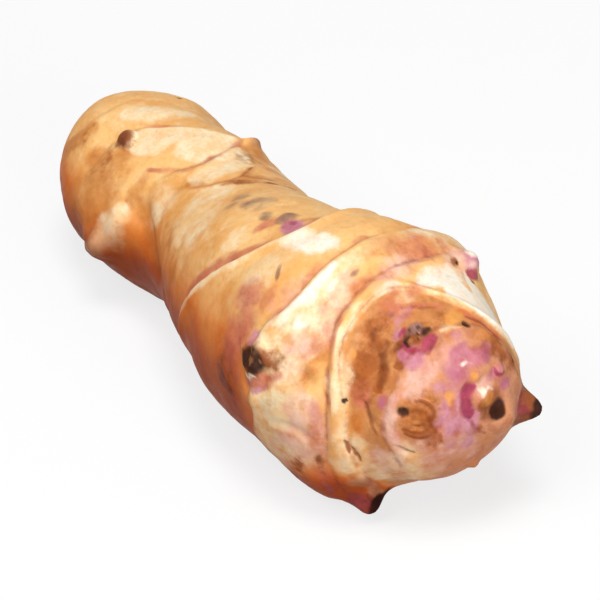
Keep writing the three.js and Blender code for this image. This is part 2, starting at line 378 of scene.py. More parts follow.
# Ridges (height above 0) and creases (below 0): height, reach to either side, line of places.
FOLDS = [
    (1.5, 2.1, [(32.8, 155), (31.5, 168), (29.8, 180), (27.0, 190)]),
    (-0.8, 2.2, [(32.5, 146), (36.5, 154), (42.4, 166), (48, 181), (53, 198)]),
    (0.5, 1.2, [(82, 172), (84.5, 181), (87.3, 178), (89.6, 169), (91, 163)]),
    (-0.35, 0.9, [(90.6, 156), (91.8, 160), (93.2, 166)]),
    (-0.3, 0.8, [(87.5, 188), (91.0, 186), (93.5, 192)]),
    (-0.25, 0.5, [(98.8, 116), (101.4, 104), (103.8, 93)]),
    (-0.4, 0.9, [(99.0, 128), (99.8, 137), (101.4, 147), (101.6, 158)]),
    (-0.35, 0.5, [(100.6, 162), (101.6, 170), (103.8, 182)]),
    (-0.3, 0.4, [(98.3, 187), (98.7, 192), (99.0, 197)]),
    (-0.3, 0.4, [(99.6, 192), (100.0, 197), (100.3, 203)]),
    (-0.25, 0.4, [(105.6, 186), (106.6, 192), (108.6, 198)]),
    (0.3, 0.8, [(104.8, 140), (106.0, 132), (106.2, 120)]),
    (-0.5, 0.5, [(112.0, 124), (111.7, 136), (112.4, 152), (113.2, 172)]),
]

# Root scars: sunken dots. Along, around, radius.
ROOT_SCARS = [
    (97.6, 166, 0.4),
    (106.2, 164, 0.95),
    (106.6, 89, 0.75),
    (111.3, 50, 0.6),
    (87.0, 20, 0.6),
    (58.0, 250, 0.7),
    (35.0, 265, 0.6),
    (14.0, 60, 0.7),
    (52.0, 20, 0.6),
]

# Growth rings about the flat scar beside the tip: their place, and sizes in mm.
SCAR_PLACE = (108.0, 165)
SCAR_RADIUS = 3.8
SCAR_SPACING = 1.15
SCAR_HEIGHT = 0.14


def bud_profile(share):
    """Height of a bud, 1 at its top, at a share of its radius."""
    return np.interp(share, [0, 0.2, 0.42, 0.85, 1.2, 1.5], [1, 0.97, 0.82, 0.4, 0.12, 0])


def ring_relief():
    """Grooves, lips past them, and gentle swellings between one ring and the next."""
    relief = np.zeros_like(ALONG)
    worn = 0.75 + 0.6 * noise_at(BASE, 6.0, 3)
    for ring, past, clear in zip(RINGS, PAST, CLEAR):
        lip_side = smooth(-0.2, 0.2, past * np.sign(ring.lip_at))
        relief -= ring.groove * worn * clear * bell(past, GROOVE_WIDTH)
        relief += ring.lip * clear * bell(past - ring.lip_at, LIP_WIDTH) * lip_side
    for ring, start, end in zip(RINGS, PAST, PAST[1:]):
        u = np.clip(start / np.maximum(start - end, 0.1), 0, 1)
        relief += ring.bulge * (4 * u * (1 - u)) ** 2
    return relief


def fold_relief():
    relief = np.zeros_like(ALONG)
    for height, reach, places in FOLDS:
        distance, share = from_line(places)
        taper = smooth(0, 0.25, share) * smooth(1, 0.75, share)
        relief += height * bell(distance, reach) * taper
    return relief


def scar_relief():
    distance, _ = local_polar(*SCAR_PLACE)
    ripple = SCAR_HEIGHT * np.cos(2 * math.pi * (distance + WAVER) / SCAR_SPACING)
    return ripple * smooth(SCAR_RADIUS + 0.4, SCAR_RADIUS - 0.6, distance)


def lump_relief():
    """Lumps of several sizes and fine wrinkles that run round the tuber."""
    turn = np.radians(AROUND)
    wrinkle_place = np.stack([MERIDIAN / 1.1, 1.6 * np.cos(turn), 1.6 * np.sin(turn)], axis=-1)
    return (
        0.45 * noise_at(BASE, 12.0, 4)
        + 0.14 * noise_at(BASE, 4.0, 5)
        + 0.04 * noise_at(BASE, 1.3, 6)
        + 0.05 * noise_at(wrinkle_place, 1.0, 7)
    )


def raise_buds(points):
    for along, around, radius, height, lean, sharpness in BUDS:
        distance, direction = local_polar(along, around)
        scales = 1 + 0.06 * np.cos(5 * direction + 3 * distance / radius)
        rise = height * bud_profile(distance / radius * scales) ** sharpness
        points += NORMAL * rise[..., None]
        points += ONWARD * (rise * math.tan(math.radians(lean)))[..., None]


def raise_knobs(points):
    for along, around, radius, height in KNOBS:
        distance, _ = local_polar(along, around)
        points += NORMAL * (height * smooth(1.25, 0.35, distance / radius))[..., None]


def raise_eyes(points):
    rough = 0.5 * noise_at(BASE, 0.9, 8)
    for along, around, radius, height, lean in EYES:
        distance, direction = local_polar(along, around)
        uneven = 1 + 0.12 * np.sin(3 * direction) + 0.06 * np.sin(7 * direction)
        share = distance / radius * uneven
        mound = height * smooth(1.7, 0.7, share)
        sunken_ring = 0.35 * bell(share, 0.25) - 0.45 * bell(share, 0.62)
        centre = sunken_ring + rough * smooth(1.3, 0.8, share)
        points += NORMAL * (mound + centre)[..., None]
        points -= ACROSS * (mound * math.tan(math.radians(lean)))[..., None]


def sink_root_scars(points):
    for along, around, radius in ROOT_SCARS:
        distance, _ = local_polar(along, around)
        dip = 0.12 * bell(distance - 1.3 * radius, 0.5 * radius) - 0.45 * bell(distance, radius)
        points += NORMAL * dip[..., None]


# The stub of the stolon at the rear end, and the bud at the growing tip.
STUB_LENGTH = 4.0
STUB_NECK = 2.3
TIP_BUD_HEIGHT = 1.7
TIP_BUD_RADIUS = 2.9


def end_relief():
    """How far the skin is drawn out at the stub and at the tip's bud, as vectors in mm."""
    rear, tip = AXIS_TABLE[0, :3], AXIS_TABLE[-1, :3]
    rear_way, tip_way = -AXIS_FORWARD[0], AXIS_FORWARD[-1]
    from_rear = np.linalg.norm(np.cross(BASE - rear, rear_way), axis=2)
    from_tip = np.linalg.norm(np.cross(BASE - tip, tip_way), axis=2)
    at_rear = ALONG < LENGTH / 2
    stub = 0.75 * np.exp(-((from_rear / STUB_NECK) ** 4)) + 0.25 * bell(from_rear, 2 * STUB_NECK)
    bud = bud_profile(from_tip / TIP_BUD_RADIUS)
    return (
        rear_way * (STUB_LENGTH * stub * at_rear)[..., None]
        + tip_way * (TIP_BUD_HEIGHT * bud * ~at_rear)[..., None]
    )


# Least share of the relief that is left at the very ends.
LEAST_RELIEF = 0.35


def skin_points():
    """The skin with all its relief, in mm, flattened where it rests on the ground."""
    lift = ring_relief() + lump_relief() + fold_relief() + scar_relief()
    share = cap_share(ALONG, REAR_CAP) * cap_share(LENGTH - ALONG, FRONT_CAP)
    points = BASE + NORMAL * (lift * np.maximum(share, LEAST_RELIEF))[..., None]
    raise_buds(points)
    raise_knobs(points)
    raise_eyes(points)
    sink_root_scars(points)
    points += end_relief()
    points[..., 2] = np.maximum(points[..., 2], 0.0)
    return points


# --- Marks on the skin ---

# Widest soft edge of each layer's marks, in mm.
SOFTNESS = {
    "tan": 6.0,
    "cream": 6.0,
    "rose": 5.0,
    "brown": 4.0,
    "blush": 4.0,
    "umber": 1.5,
    "lilac": 3.5,
    "pink": 3.5,
    "magenta": 2.0,
    "white": 2.4,
    "orange": 2.0,
    "stain": 3.0,
    "dark": 1.0,
    "cork": 1.0,
}

# Soft edge of a small mark, as a share of the mark's depth, and the least depth that counts.
EDGE_SHARE = 1.6
LEAST_DEPTH = 0.25

# How many times steeper a band's amount rises at its ring than at its other edge.
CRISPNESS = 4.0

LAYERS = {name: np.zeros_like(ALONG) for name in SOFTNESS}


def mark(layer, inside, strength=1.0):
    """Lays a mark into a layer, from its depth in mm inside the edge."""
    soft = min(SOFTNESS[layer], EDGE_SHARE * max(inside.max(), LEAST_DEPTH))
    amount = strength * smooth(-soft / 2, soft / 2, inside)
    LAYERS[layer] = np.maximum(LAYERS[layer], amount)


def oval(along, around, length, width, turn=0.0, grid=MARK_BASE):
    """Oval patch: half sizes tipward and across in mm, turned over the skin in degrees."""
    distance, direction = local_polar(along, around, grid)
    angle = direction - math.radians(turn)
    share = distance * np.hypot(np.cos(angle) / length, np.sin(angle) / width)
    return (1 - share) * min(length, width)


def stroke(width, *places):
    """Line through places on the skin, of a width in mm, that thins out at both ends."""
    distance, share = from_line(places, MARK_BASE)
    return width / 2 * (4 * share * (1 - share)) ** 0.35 - distance


def arc(along, around, radius, width, middle, half):
    """Curved stroke about a place: its radius and width in mm, and its span in degrees."""
    distance, direction = local_polar(along, around, BASE + 0.3 * DRIFT)
    off = np.abs(turn_between(np.degrees(direction), middle))
    taper = np.sqrt(np.clip(1 - (off / half) ** 2, 0, 1))
    return width / 2 * taper - np.abs(distance - radius) - (1 - taper) * width


# How far a band's edges wander in mm, and the share by which its taper varies.
UNEVEN = 0.4 * noise_at(BASE, 3.0, 9)


def band(ring, start, end, middle, half):
    """Lens-shaped band along a ring, from start to end in mm past it.

    The edge that lies nearer to the ring is crisp, and the others fade out.
    """
    off = np.abs(turn_between(AROUND + 6 * WAVER, middle))
    taper = np.sqrt(np.clip(1 - (off / half) ** 2, 0, 1)) * (1 + UNEVEN)
    past = PAST[ring] + UNEVEN
    if abs(start) > abs(end):
        start, end, past = -end, -start, -past
    depth = np.minimum((past - start) * CRISPNESS, start + (end - start) * taper - past)
    return np.minimum(depth, (end - start) / 2) - (1 - taper) * 0.8 * (end - start)


# Ovals by layer: strength, along, around, half size tipward, half size across, and any turn.
OVALS = {
    "cream": [
        (1.0, 30.6, 175, 2.6, 2.8),
        (0.5, 40.5, 143, 3.0, 4.0, 20),
        (0.8, 51.5, 118, 2.6, 4.5),
        (0.6, 57.0, 130, 6.0, 4.5),
        (0.5, 70.5, 122, 2.0, 3.0),
        (0.6, 80.5, 128, 3.0, 5.0),
        (0.9, 90.0, 187, 4.4, 7.5),
        (0.6, 96.4, 142, 0.8, 3.0),
        (0.6, 97.2, 158, 1.2, 3.4),
        (0.5, 98.8, 100, 1.6, 4.0),
        (1.0, 100.2, 199, 1.8, 3.4),
        (0.9, 102.5, 216, 2.6, 4.0),
        (0.9, 103.9, 204, 1.9, 3.0),
        (1.0, 107.0, 211, 3.6, 4.6),
    ],
    "tan": [  # tan to orange-brown
        # The next two darken the rear lobe low on the -Y side: painted shade.
        (0.8, 21.0, 208, 9.0, 6.0),
        (0.9, 22.0, 174, 5.0, 6.0),
        (1.0, 22.6, 147, 4.4, 5.0),
        (1.0, 25.5, 168, 2.4, 4.0),
        (1.0, 27.6, 154, 2.2, 4.6),
        (0.8, 32.6, 143, 1.4, 3.0),
        (1.0, 37.6, 62, 3.0, 3.4),
        (0.8, 42.0, 134, 1.2, 3.2),
        (0.8, 44.3, 58, 1.3, 3.0),
        (0.8, 49.9, 80, 1.3, 4.0),
        (0.6, 54.0, 162, 9.0, 5.0),
        (0.7, 77.2, 89, 1.4, 1.8),
        (0.5, 88.0, 147, 1.2, 2.2),
        (1.0, 88.0, 157.5, 2.6, 1.9, -22),
        (0.8, 88.6, 214, 3.0, 3.0),
        (0.6, 90.2, 171, 1.6, 2.0),
        (0.7, 90.6, 130, 1.0, 1.4),
        (0.9, 91.4, 160, 2.0, 2.6),
        (1.0, 91.4, 147, 2.4, 2.8),
        (0.8, 92.0, 190, 1.8, 2.6),
        (0.7, 92.4, 136, 0.9, 1.6),
        (0.8, 98.6, 153, 1.2, 2.4),
        (0.9, 100.2, 181, 1.6, 2.6),
        (0.8, 106.7, 103, 1.0, 1.6),
        (1.0, 108.1, 165, 3.4, 3.6),
        (0.8, 108.9, 80, 1.7, 2.6),
    ],
    "rose": [
        (0.7, 72.4, 103, 1.1, 2.6, 10),
        (1.0, 80.0, 168, 2.2, 3.4),
        (1.0, 80.8, 150, 3.2, 5.0, -10),
        (0.6, 83.0, 153, 1.2, 2.0),
        (0.7, 83.6, 138, 1.2, 2.6),
        (0.5, 91.4, 146, 2.0, 2.4),
        (0.7, 92.5, 76, 2.4, 6.0, 10),
        (0.8, 93.6, 190, 1.3, 5.0),
        (0.6, 94.0, 212, 1.6, 4.0),
        (0.5, 94.3, 97, 1.0, 3.0),
        (0.7, 94.5, 63, 2.4, 5.0, 10),
        (0.6, 96.9, 109, 1.1, 2.6),
        (0.7, 98.6, 112, 1.4, 2.4),
        (0.6, 98.8, 93, 1.2, 3.4),
        (0.8, 100.3, 160, 1.4, 2.0),
        (0.8, 110.2, 178, 1.3, 1.8),
    ],
    "blush": [  # pale pink, with no edge to speak of
        (0.6, 86.5, 133, 2.4, 4.0),
        (0.6, 90.0, 200, 4.0, 4.0),
        (0.5, 90.0, 150, 2.4, 4.0),
        (0.6, 91.6, 122, 1.8, 5.0),
        (0.8, 92.4, 186, 3.6, 6.0),
        (0.9, 94.9, 93, 1.8, 4.6),
        (0.8, 96.4, 36, 1.2, 1.2),
        (1.0, 97.0, 52, 2.0, 3.0),
        (0.7, 104.0, 206, 2.6, 4.0),
        (1.0, 106.6, 137, 2.2, 3.6),
        (0.9, 108.2, 112, 1.6, 2.4),
        (0.9, 109.8, 201, 2.4, 4.0),
        (0.9, 112.6, 206, 1.6, 2.6),
        (1.0, 112.6, 112, 1.0, 1.6),
    ],
    "brown": [
        (1.0, 0.0, 90, 3.6, 3.6),
        (0.4, 21.0, 144, 2.6, 3.2),
        (1.0, 22.5, 123.5, 1.8, 1.8),
        (0.6, 40.6, 70, 2.4, 2.0),
        (0.7, 79.0, 181, 2.0, 3.0),
        (1.0, 87.9, 158, 1.9, 1.3, -22),
        (0.5, 90.4, 206, 1.6, 2.4),
        (0.8, 93.8, 205, 0.7, 2.0),
        (0.7, 97.2, 57, 0.9, 1.0),
        (1.0, 97.4, 238, 2.4, 2.4),
        (0.7, 98.4, 124, 1.4, 3.0),
        (0.8, 99.8, 142, 2.0, 5.0),
        (0.7, 100.6, 154, 1.5, 3.0),
        (0.9, 102.4, 131, 1.0, 1.5),
        (0.9, 103.5, 137, 0.8, 1.1),
        (0.6, 104.1, 99, 0.9, 1.4),
        (0.7, 108.2, 163, 2.6, 2.8),
        (0.8, 109.8, 185, 1.3, 1.9),
        (1.0, 110.2, 76, 1.8, 2.0),
        (0.9, 110.8, 347, 1.6, 2.4),
        (0.9, 111.6, 61, 1.8, 2.2),
        (0.8, 113.1, 135, 0.8, 1.4),
        (0.7, 113.2, 180, 1.2, 1.4),
    ],
    "umber": [  # darker brown in the eyes, on the knob, at the scars and on the hooked bud
        (1.0, 0.0, 90, 2.4, 2.4),
        (1.0, 22.5, 124.5, 1.4, 1.4),
        (0.9, 32.4, 50, 1.4, 1.8),
        (1.0, 85.2, 162, 3.0, 2.3, -22),
        (0.5, 87.6, 158, 0.8, 0.6, -22),
        (0.9, 102.2, 129, 0.8, 1.2),
        (0.9, 103.3, 121, 1.7, 2.2),
        (1.0, 112.2, 344, 3.4, 3.6),
        (1.0, 113.7, 125, 1.8, 2.3),
    ],
    "lilac": [  # lilac, pink and magenta are at the growing end and on some buds
        (1.0, 76.6, 98.5, 2.0, 1.9),
        (1.0, 84.0, 154.5, 1.1, 1.3),
        (0.8, 93.4, 221, 0.8, 1.6),
        (1.0, 97.4, 47, 1.6, 1.6),
        (0.8, 100.4, 112, 0.9, 2.2),
        (0.9, 101.3, 124, 0.6, 1.3),
        (1.0, 104.7, 130, 1.3, 1.9),
        (0.7, 106.9, 101, 1.0, 1.2),
        (0.9, 109.6, 132, 1.6, 2.6),
        (0.8, 110.6, 163, 1.2, 2.4),
        (1.0, 110.9, 152, 1.7, 3.4),
        (1.0, 111.6, 172, 1.5, 3.2),
        (0.8, 112.6, 192, 1.2, 2.0),
        (1.0, 112.9, 172, 1.4, 2.2),
    ],
    "pink": [
        (1.0, 75.8, 98, 1.8, 1.3),
        (0.65, 96.2, 231, 1.6, 1.7),
        (0.9, 103.2, 161, 0.8, 1.1),
        (1.0, 103.4, 130, 0.9, 1.3),
        (0.8, 108.6, 107, 1.0, 1.8),
        (1.0, 110.2, 98, 1.5, 2.8),
        (0.8, 110.2, 118, 1.5, 2.2),
        (0.9, 112.3, 92, 0.9, 1.8),
        (0.9, 113.3, 75, 0.9, 1.4),
        (0.9, 113.9, 335, 1.2, 2.6),
    ],
    "magenta": [
        (0.5, 75.2, 97, 0.9, 0.7),
        (0.7, 83.8, 157, 0.4, 0.8),
        (1.0, 98.9, 46, 0.9, 1.4),
        (0.7, 99.6, 55, 1.2, 0.7),
        (0.8, 101.7, 121, 0.5, 0.9),
        (1.0, 105.4, 118, 1.0, 1.6),
        (0.55, 113.0, 354, 1.5, 2.2),
    ],
    "white": [  # painted highlights
        (1.0, 26.6, 191, 1.0, 1.3),
        (1.0, 82.4, 105, 4.6, 2.3, -12),
        (0.9, 88.9, 128, 0.9, 1.6),
        (0.8, 89.4, 138, 1.0, 1.8),
        (0.7, 90.3, 119, 0.8, 1.0),
        (0.9, 96.8, 47, 0.7, 0.8),
        (1.0, 98.6, 82, 1.3, 3.0),
        (1.0, 99.0, 73, 2.4, 4.6),
        (0.5, 110.0, 112, 0.3, 1.2, 30),
        (0.8, 112.7, 119, 0.35, 0.8),
    ],
    "orange": [
        (0.3, 88.3, 157, 0.9, 0.7, -22),
        (0.7, 96.8, 143, 0.8, 1.2),
        (1.0, 104.9, 91, 1.1, 1.8),
        (0.8, 110.5, 144, 0.8, 1.0),
        (0.9, 111.5, 113, 0.7, 0.7),
        (0.9, 113.2, 124, 0.9, 1.2),
    ],
    "stain": [  # grey-brown
        (0.8, 33.7, 52, 1.4, 1.8),
        (0.7, 59.0, 99, 1.8, 1.6),
        (0.4, 61.6, 107, 1.4, 2.2),
        (0.7, 65.4, 98, 3.2, 2.6),
        (0.5, 70.6, 101, 1.2, 1.4, 12),
        (1.0, 73.4, 95.5, 1.3, 1.6),
        (0.8, 78.0, 180, 0.9, 2.2, -17),
        (0.8, 82.8, 125, 0.4, 1.3, -30),
        (0.7, 91.8, 108, 0.4, 0.9),
        (0.7, 98.5, 115, 0.4, 0.8),
        (0.8, 102.7, 116, 0.5, 1.3, 30),
        (0.6, 103.4, 112.5, 0.4, 0.8, -40),
    ],
    "dark": [  # near black
        (0.7, 0.0, 90, 1.2, 1.2),
        # Painted shade on the knob's lower side.
        (0.35, 22.7, 127, 0.8, 0.7),
        (0.8, 85.1, 162.5, 2.7, 2.0, -22),
        (0.7, 97.6, 55.5, 0.4, 0.4),
        (0.8, 99.8, 50, 0.4, 0.5),
        (0.9, 104.1, 112, 0.6, 0.8),
        (0.9, 113.9, 127, 1.1, 1.6),
    ],
}

# Strokes by layer: strength, width, places.
STROKES = {
    "cream": [
        (1.0, 4.4, (15.6, 112), (19.6, 95), (22.8, 70)),
        (1.0, 4.6, (41.8, 118), (43.8, 100), (41.6, 73)),
        (1.0, 3.8, (32.6, 157), (31.2, 168), (29.6, 180), (27.4, 190)),
        (0.8, 1.0, (87.0, 180), (89.2, 170), (91.0, 164)),
        (0.8, 1.4, (105.2, 107), (105.8, 100), (106.4, 94)),
    ],
    "tan": [
        (1.0, 3.4, (13.4, 127), (13.8, 138), (11.0, 149), (8.0, 160)),
        # Painted shade along the waist crease.
        (0.9, 3.6, (32.0, 146), (37.0, 155), (42.6, 167), (48.0, 181), (52.0, 192)),
        (0.8, 2.2, (28.0, 168), (27.4, 178), (24.8, 190)),
        (0.9, 1.8, (43.6, 72), (48.8, 90), (48.0, 108), (43.2, 121), (39.5, 132)),
        (0.9, 1.6, (93.4, 180), (94.0, 193), (94.2, 204)),
    ],
    "rose": [
        (0.55, 1.4, (33.9, 63), (37.1, 81), (39.4, 104), (36.2, 120), (31.5, 130)),
        (0.55, 1.4, (27.2, 86), (24.7, 99), (21.9, 109)),
        (0.8, 1.2, (82.4, 172), (81.0, 182), (79.6, 200)),
        (0.7, 1.2, (98.4, 113), (101.0, 102), (103.2, 93)),
        (0.9, 2.0, (104.4, 87), (106.4, 78), (108.0, 69), (109.4, 60)),
        (1.0, 2.2, (83.8, 174), (86.0, 171), (88.0, 167), (89.4, 161)),
    ],
    "brown": [
        # Along the crack on the face's left: the crack's own brown, with painted shade in the
        # crease.
        (0.9, 3.2, (98.8, 127), (99.8, 137), (101.2, 147), (101.8, 158)),
        (0.4, 1.8, (13.8, 125), (13.9, 135), (13.8, 143), (12.8, 150)),
        (0.8, 1.6, (50.2, 106), (51.0, 92), (52.3, 81), (55.4, 59)),
    ],
    "umber": [
        # Along the same crack: its own dark colour, with painted shade in the crease.
        (0.9, 1.5, (100.4, 128), (101.2, 137), (102.2, 146), (102.3, 156)),
        (0.8, 0.8, (98.4, 121), (98.2, 127), (98.8, 133)),
        (0.9, 0.7, (100.9, 164), (102.2, 173), (103.6, 182)),
        (0.8, 0.7, (104.6, 87), (106.6, 78), (108.2, 69), (109.6, 60)),
        (0.6, 0.8, (48.2, 92), (50.0, 78), (52.6, 62)),
        (0.6, 0.7, (44.0, 73), (47.2, 84), (48.9, 93)),
        (1.0, 0.6, (98.3, 187), (98.7, 192), (99.0, 197)),
        (1.0, 0.6, (99.6, 192), (100.0, 197), (100.3, 203)),
        (0.8, 0.5, (105.4, 187), (106.6, 193), (108.0, 197)),
        (0.6, 0.6, (99.2, 110), (101.2, 103), (103.0, 96)),
        (0.55, 0.7, (112.6, 156), (113.3, 178), (113.8, 205)),
    ],
    "blush": [
        (1.0, 1.8, (106.0, 149), (104.8, 158), (104.5, 169), (105.0, 181), (106.0, 193)),
    ],
    "lilac": [
        (0.9, 0.8, (83.6, 177), (86.2, 174.5), (88.6, 169)),
    ],
    "magenta": [
        (1.0, 1.8, (112.2, 120), (111.7, 132), (112.2, 146), (112.8, 162)),
        (0.45, 0.8, (112.4, 152), (113.2, 175), (113.8, 202)),
    ],
    # Painted highlights.
    "white": [
        (0.8, 0.6, (83.9, 170), (84.6, 171), (86.2, 167)),
        (0.9, 1.7, (88.7, 108), (88.7, 120), (88.2, 132), (87.0, 144)),
        (0.7, 0.6, (113.2, 104), (112.7, 114), (112.4, 124)),
        (0.6, 0.35, (102.2, 114), (102.9, 116), (103.2, 119)),
        (0.5, 0.3, (103.2, 112), (103.4, 114.5), (103.9, 117)),
    ],
    "dark": [
        (0.7, 0.4, (101.9, 116), (102.5, 119), (102.6, 123)),
        (0.6, 0.35, (102.9, 112), (103.1, 115), (103.7, 118)),
    ],
    "orange": [
        (0.7, 0.7, (75.6, 93), (77.4, 89)),
        (0.8, 0.9, (110.0, 142), (111.2, 150)),
    ],
}

# Bands by layer: strength, ring, start and end in mm past it, middle, half span.
BANDS = {
    "cream": [
        (1.0, 1, 0.6, 13.5, 96, 40),
        (0.9, 4, 0.8, 2.2, 132, 52),
        (1.0, 5, 0.3, 9.0, 165, 82),
        (1.0, 7, -1.0, 0.1, 125, 75),
        (1.0, 7, -2.4, 0.2, 194, 56),
        (0.8, 1, 0.6, 7.0, 330, 50),
        (0.8, 3, 0.6, 6.0, 20, 50),
        (0.8, 4, 0.4, 5.0, 340, 60),
        (0.8, 5, 0.2, 6.0, 20, 60),
        (0.8, 5, 0.2, 6.0, 270, 50),
        (0.8, 7, -3.0, 0.0, 0, 60),
    ],
    # Painted highlight: a crescent behind the rim.
    "white": [
        (1.0, 7, -10.5, 0.1, 54, 36),
    ],
    "rose": [
        (0.8, 4, -2.0, 0.2, 130, 50),
        (0.5, 5, -1.2, 0.2, 115, 45),
        (0.55, 6, -1.2, 1.0, 105, 85),
        (0.7, 4, -1.8, 0.2, 340, 60),
        (0.7, 5, -1.4, 0.2, 0, 80),
        (0.8, 6, -1.6, 1.2, 330, 80),
    ],
}

# Curved strokes by layer: strength, along, around, radius, width, middle and half span.
ARCS = {
    "umber": [
        (0.8, *SCAR_PLACE, 3.4, 0.6, 40, 110),
        (0.9, *SCAR_PLACE, 2.4, 0.6, -30, 140),
        (0.8, *SCAR_PLACE, 1.4, 0.5, 30, 130),
    ],
    "brown": [
        (0.9, *SCAR_PLACE, 2.9, 1.4, 60, 110),
    ],
    "magenta": [
        (0.9, 112.2, 82, 0.9, 0.6, 0, 181),
        (0.8, 103.4, 120, 1.9, 1.0, 60, 90),
    ],
    "dark": [
        (0.7, 103.4, 122, 1.0, 0.6, 140, 110),
        (0.6, 103.4, 122, 1.0, 0.4, -40, 60),
    ],
    "stain": [
        (0.9, 103.2, 118, 1.5, 0.5, 240, 70),
    ],
}

# Corky spots in the eyes: along, around, radius.
EYE_SPOTS = [
    (84.9, 163, 0.7),
    (84.6, 158.5, 0.45),
    (86.6, 161, 0.4),
    (103.4, 122, 0.4),
]

# Near-black tips of buds: along, around, radius.
BUD_TIPS = [
    (26.2, 193, 0.9),
    (47.0, 300, 0.9),
    (68.3, 320, 0.9),
    (98.0, 239, 2.1),
    (112.0, 340, 1.5),
    (87.5, 350, 1.0),
]


def lay_marks():
    """Lays every mark of the tables, and the spots of the scars, into its layer."""
    shapes = ((OVALS, oval), (BANDS, band), (ARCS, arc), (STROKES, stroke))
    for table, shape in shapes:
        for layer, rows in table.items():
            for strength, *sizes in rows:
                mark(layer, shape(*sizes), strength)
    for along, around, radius in BUD_TIPS + ROOT_SCARS:
        mark("dark", oval(along, around, radius, radius, grid=BASE))
    for along, around, radius in EYE_SPOTS:
        mark("cork", oval(along, around, radius, radius))


# Middles, as "around", of the pale flank behind the face and of the side with less painted shade.
PALE_MIDDLE = 120
BRIGHT_MIDDLE = 10


def lay_regions():
    """Lays the layers that cover whole stretches of the skin."""
    plainness = zip(RINGS, CLEAR, PAST)
    lines = [ring.line * clear * bell(past, 0.5) for ring, clear, past in plainness]
    LAYERS["line"] = np.max(lines, axis=0)
    LAYERS["face"] = smooth(-0.5, 1.2, PAST[RIM])
    LAYERS["tip"] = smooth(-0.3, 1.5, PAST[TIP_RING])
    # Painted shade: how far the skin turns away from the sky. The +Y side gets less of this
    # painted shade than the -Y side.
    bright_side = smooth(115, 45, np.abs(turn_between(AROUND, BRIGHT_MIDDLE)))
    LAYERS["low"] = smooth(1.0, -0.6, NORMAL[..., 2]) * (1 - 0.3 * bright_side)
    # The flank behind the face, and the face, stay pale: they get less painted shade where they
    # turn down.
    off_middle = np.abs(turn_between(AROUND, PALE_MIDDLE))
    pale_flank = 0.7 * smooth(79, 88, ALONG) * smooth(106, 86, off_middle)
    LAYERS["pale_end"] = np.maximum(pale_flank, 0.85 * LAYERS["face"])


lay_marks()
lay_regions()
POINTS = skin_points()

# --- Material ---


def srgb(red, green, blue):
    """A colour given in 0 to 255 as the shader's linear colour."""

    def linear(c):
        c /= 255
        return c / 12.92 if c <= 0.04045 else ((c + 0.055) / 1.055) ** 2.4

    return (linear(red), linear(green), linear(blue), 1.0)


TAN = srgb(249, 198, 130)
TAN_DEEP = srgb(238, 172, 98)
TAN_PALE = srgb(253, 218, 164)
FACE = srgb(214, 146, 92)
FACE_DEEP = srgb(178, 106, 60)
TIP = srgb(224, 168, 136)
TIP_DEEP = srgb(200, 130, 98)

# Tints that multiply the colour. The first is laid under the marks, and the others over them. The
# first four are painted shade where the skin turns down, and the freckles and mottles are the
# skin's own.
FLANK_SHADE_TINT = (0.86, 0.45, 0.22, 1.0)  # painted shade on plain skin that turns down, off the pale end
SHADE_TINT = (0.98, 0.80, 0.68, 1.0)  # painted shade on all skin that turns down
UNDER_SHADE_TINT = (0.60, 0.43, 0.38, 1.0)  # painted shade low on the flanks, off the pale end
DEEPEST_SHADE_TINT = (0.78, 0.74, 0.82, 1.0)  # painted shade on the underside, off the pale end
FRECKLE_TINT = (0.88, 0.68, 0.48, 1.0)  # freckles of the pale end
MOTTLE_TINT = (0.94, 0.84, 0.72, 1.0)  # fine mottles everywhere

# Colour layers from the lowest up: name, two tones, how soft its edge is, how ragged, how opaque.
COLOURS = [
    ("tan", srgb(214, 140, 72), srgb(198, 120, 58), 0.60, 2.6, 0.8),
    ("cream", srgb(255, 236, 200), srgb(253, 214, 164), 0.60, 2.4, 0.88),
    ("rose", srgb(212, 122, 98), srgb(192, 98, 78), 0.60, 2.0, 0.88),
    ("blush", srgb(240, 198, 182), srgb(226, 164, 148), 0.60, 2.2, 0.8),
    ("brown", srgb(168, 92, 44), srgb(134, 68, 32), 0.50, 2.8, 0.88),
    ("umber", srgb(146, 78, 40), srgb(112, 56, 32), 0.55, 1.3, 0.85),
    ("lilac", srgb(212, 150, 168), srgb(194, 122, 142), 0.45, 2.8, 0.85),
    ("pink", srgb(202, 126, 144), srgb(182, 100, 120), 0.45, 2.4, 0.85),
    ("magenta", srgb(176, 64, 100), srgb(140, 44, 72), 0.40, 2.2, 0.9),
    # Painted highlights.
    ("white", srgb(255, 248, 236), srgb(255, 238, 214), 0.50, 1.8, 0.95),
    ("orange", srgb(232, 164, 88), srgb(212, 134, 70), 0.35, 1.6, 0.85),
    ("line", srgb(178, 100, 74), srgb(150, 78, 56), 0.60, 2.8, 0.7),
    ("stain", srgb(146, 110, 106), srgb(110, 76, 74), 0.55, 2.2, 0.75),
    ("dark", srgb(66, 40, 34), srgb(44, 28, 26), 0.35, 1.6, 0.95),
    ("cork", srgb(176, 128, 88), srgb(136, 92, 60), 0.40, 1.6, 0.9),
]


# Sizes in mm of the noise that varies the skin, and of the noise that makes marks ragged.
BROAD_NOISE = 9.0
MEDIUM_NOISE = 2.6
FINE_NOISE = 0.9
GRAIN_NOISE = 0.35
EDGE_NOISE = (4.5, 2.2)

# Depth of the bump in mm.
BUMP_DEPTH = 0.25


